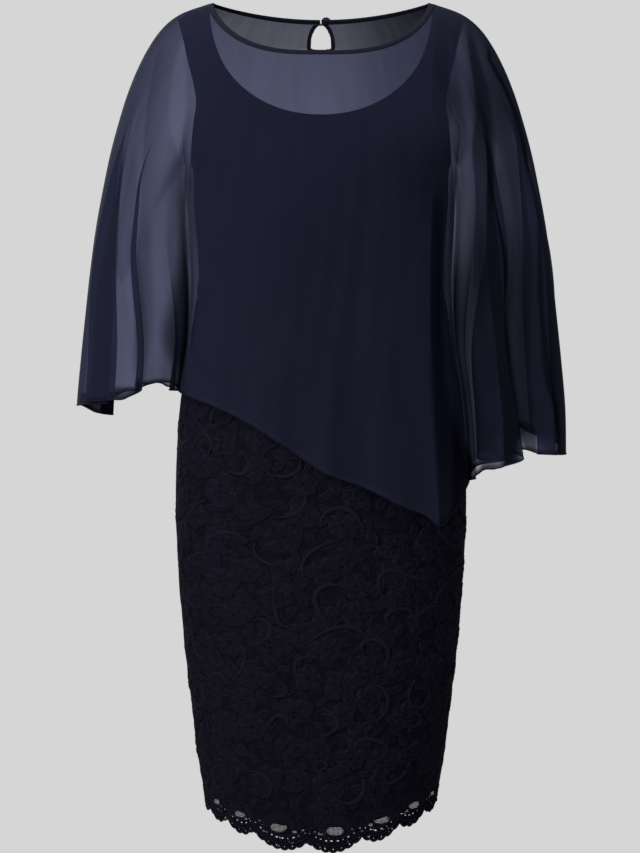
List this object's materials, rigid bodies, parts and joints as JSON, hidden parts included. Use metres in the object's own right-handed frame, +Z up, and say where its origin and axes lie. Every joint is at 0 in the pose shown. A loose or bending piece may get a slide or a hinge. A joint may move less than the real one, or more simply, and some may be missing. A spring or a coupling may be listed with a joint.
{
  "type": "cocktail dress",
  "caption": "Knee-length sleeveless dress as worn: scoop bodice, narrow scalloped lace skirt and a sheer cape with open sleeves, slanting hem and back keyhole; hollow, neck, arms and hem open.",
  "frame": {"origin": "midway between the shoulders at the height of the neck points, where the wearer holds it up", "axes": "+Z up, -Y out of the front, +X to the viewer's right"},
  "size_m": [0.5851, 0.2705, 0.9929],
  "materials": {
    "bodice_front": "matt knitted jersey",
    "bodice_back": "matt knitted jersey",
    "skirt_lining_front": "matt knitted jersey",
    "skirt_lining_back": "matt knitted jersey",
    "lace_skirt_front": "corded floral lace on net",
    "lace_skirt_back": "corded floral lace on net",
    "overlay_front": "sheer crepe chiffon",
    "overlay_back": "sheer crepe chiffon",
    "neck_binding": "doubled chiffon bias binding",
    "keyhole_binding": "doubled chiffon bias binding",
    "neck_button": "cloth-covered button",
    "button_loop": "twisted thread"
  },
  "bodies": {
    "root": {"bodice_front": "bodice_front", "bodice_back": "bodice_back", "slip_yoke_front": "skirt_lining_front", "slip_yoke_back": "skirt_lining_back", "skirt_lining_front": "skirt_lining_front", "skirt_lining_back": "skirt_lining_back", "lace_skirt_front": "lace_skirt_front", "lace_skirt_back": "lace_skirt_back", "overlay_front": "overlay_front", "overlay_back": "overlay_back", "neck_binding": "neck_binding", "keyhole_binding": "keyhole_binding", "neck_button": "neck_button", "button_loop": "button_loop"}
  },
  "joints": []
}
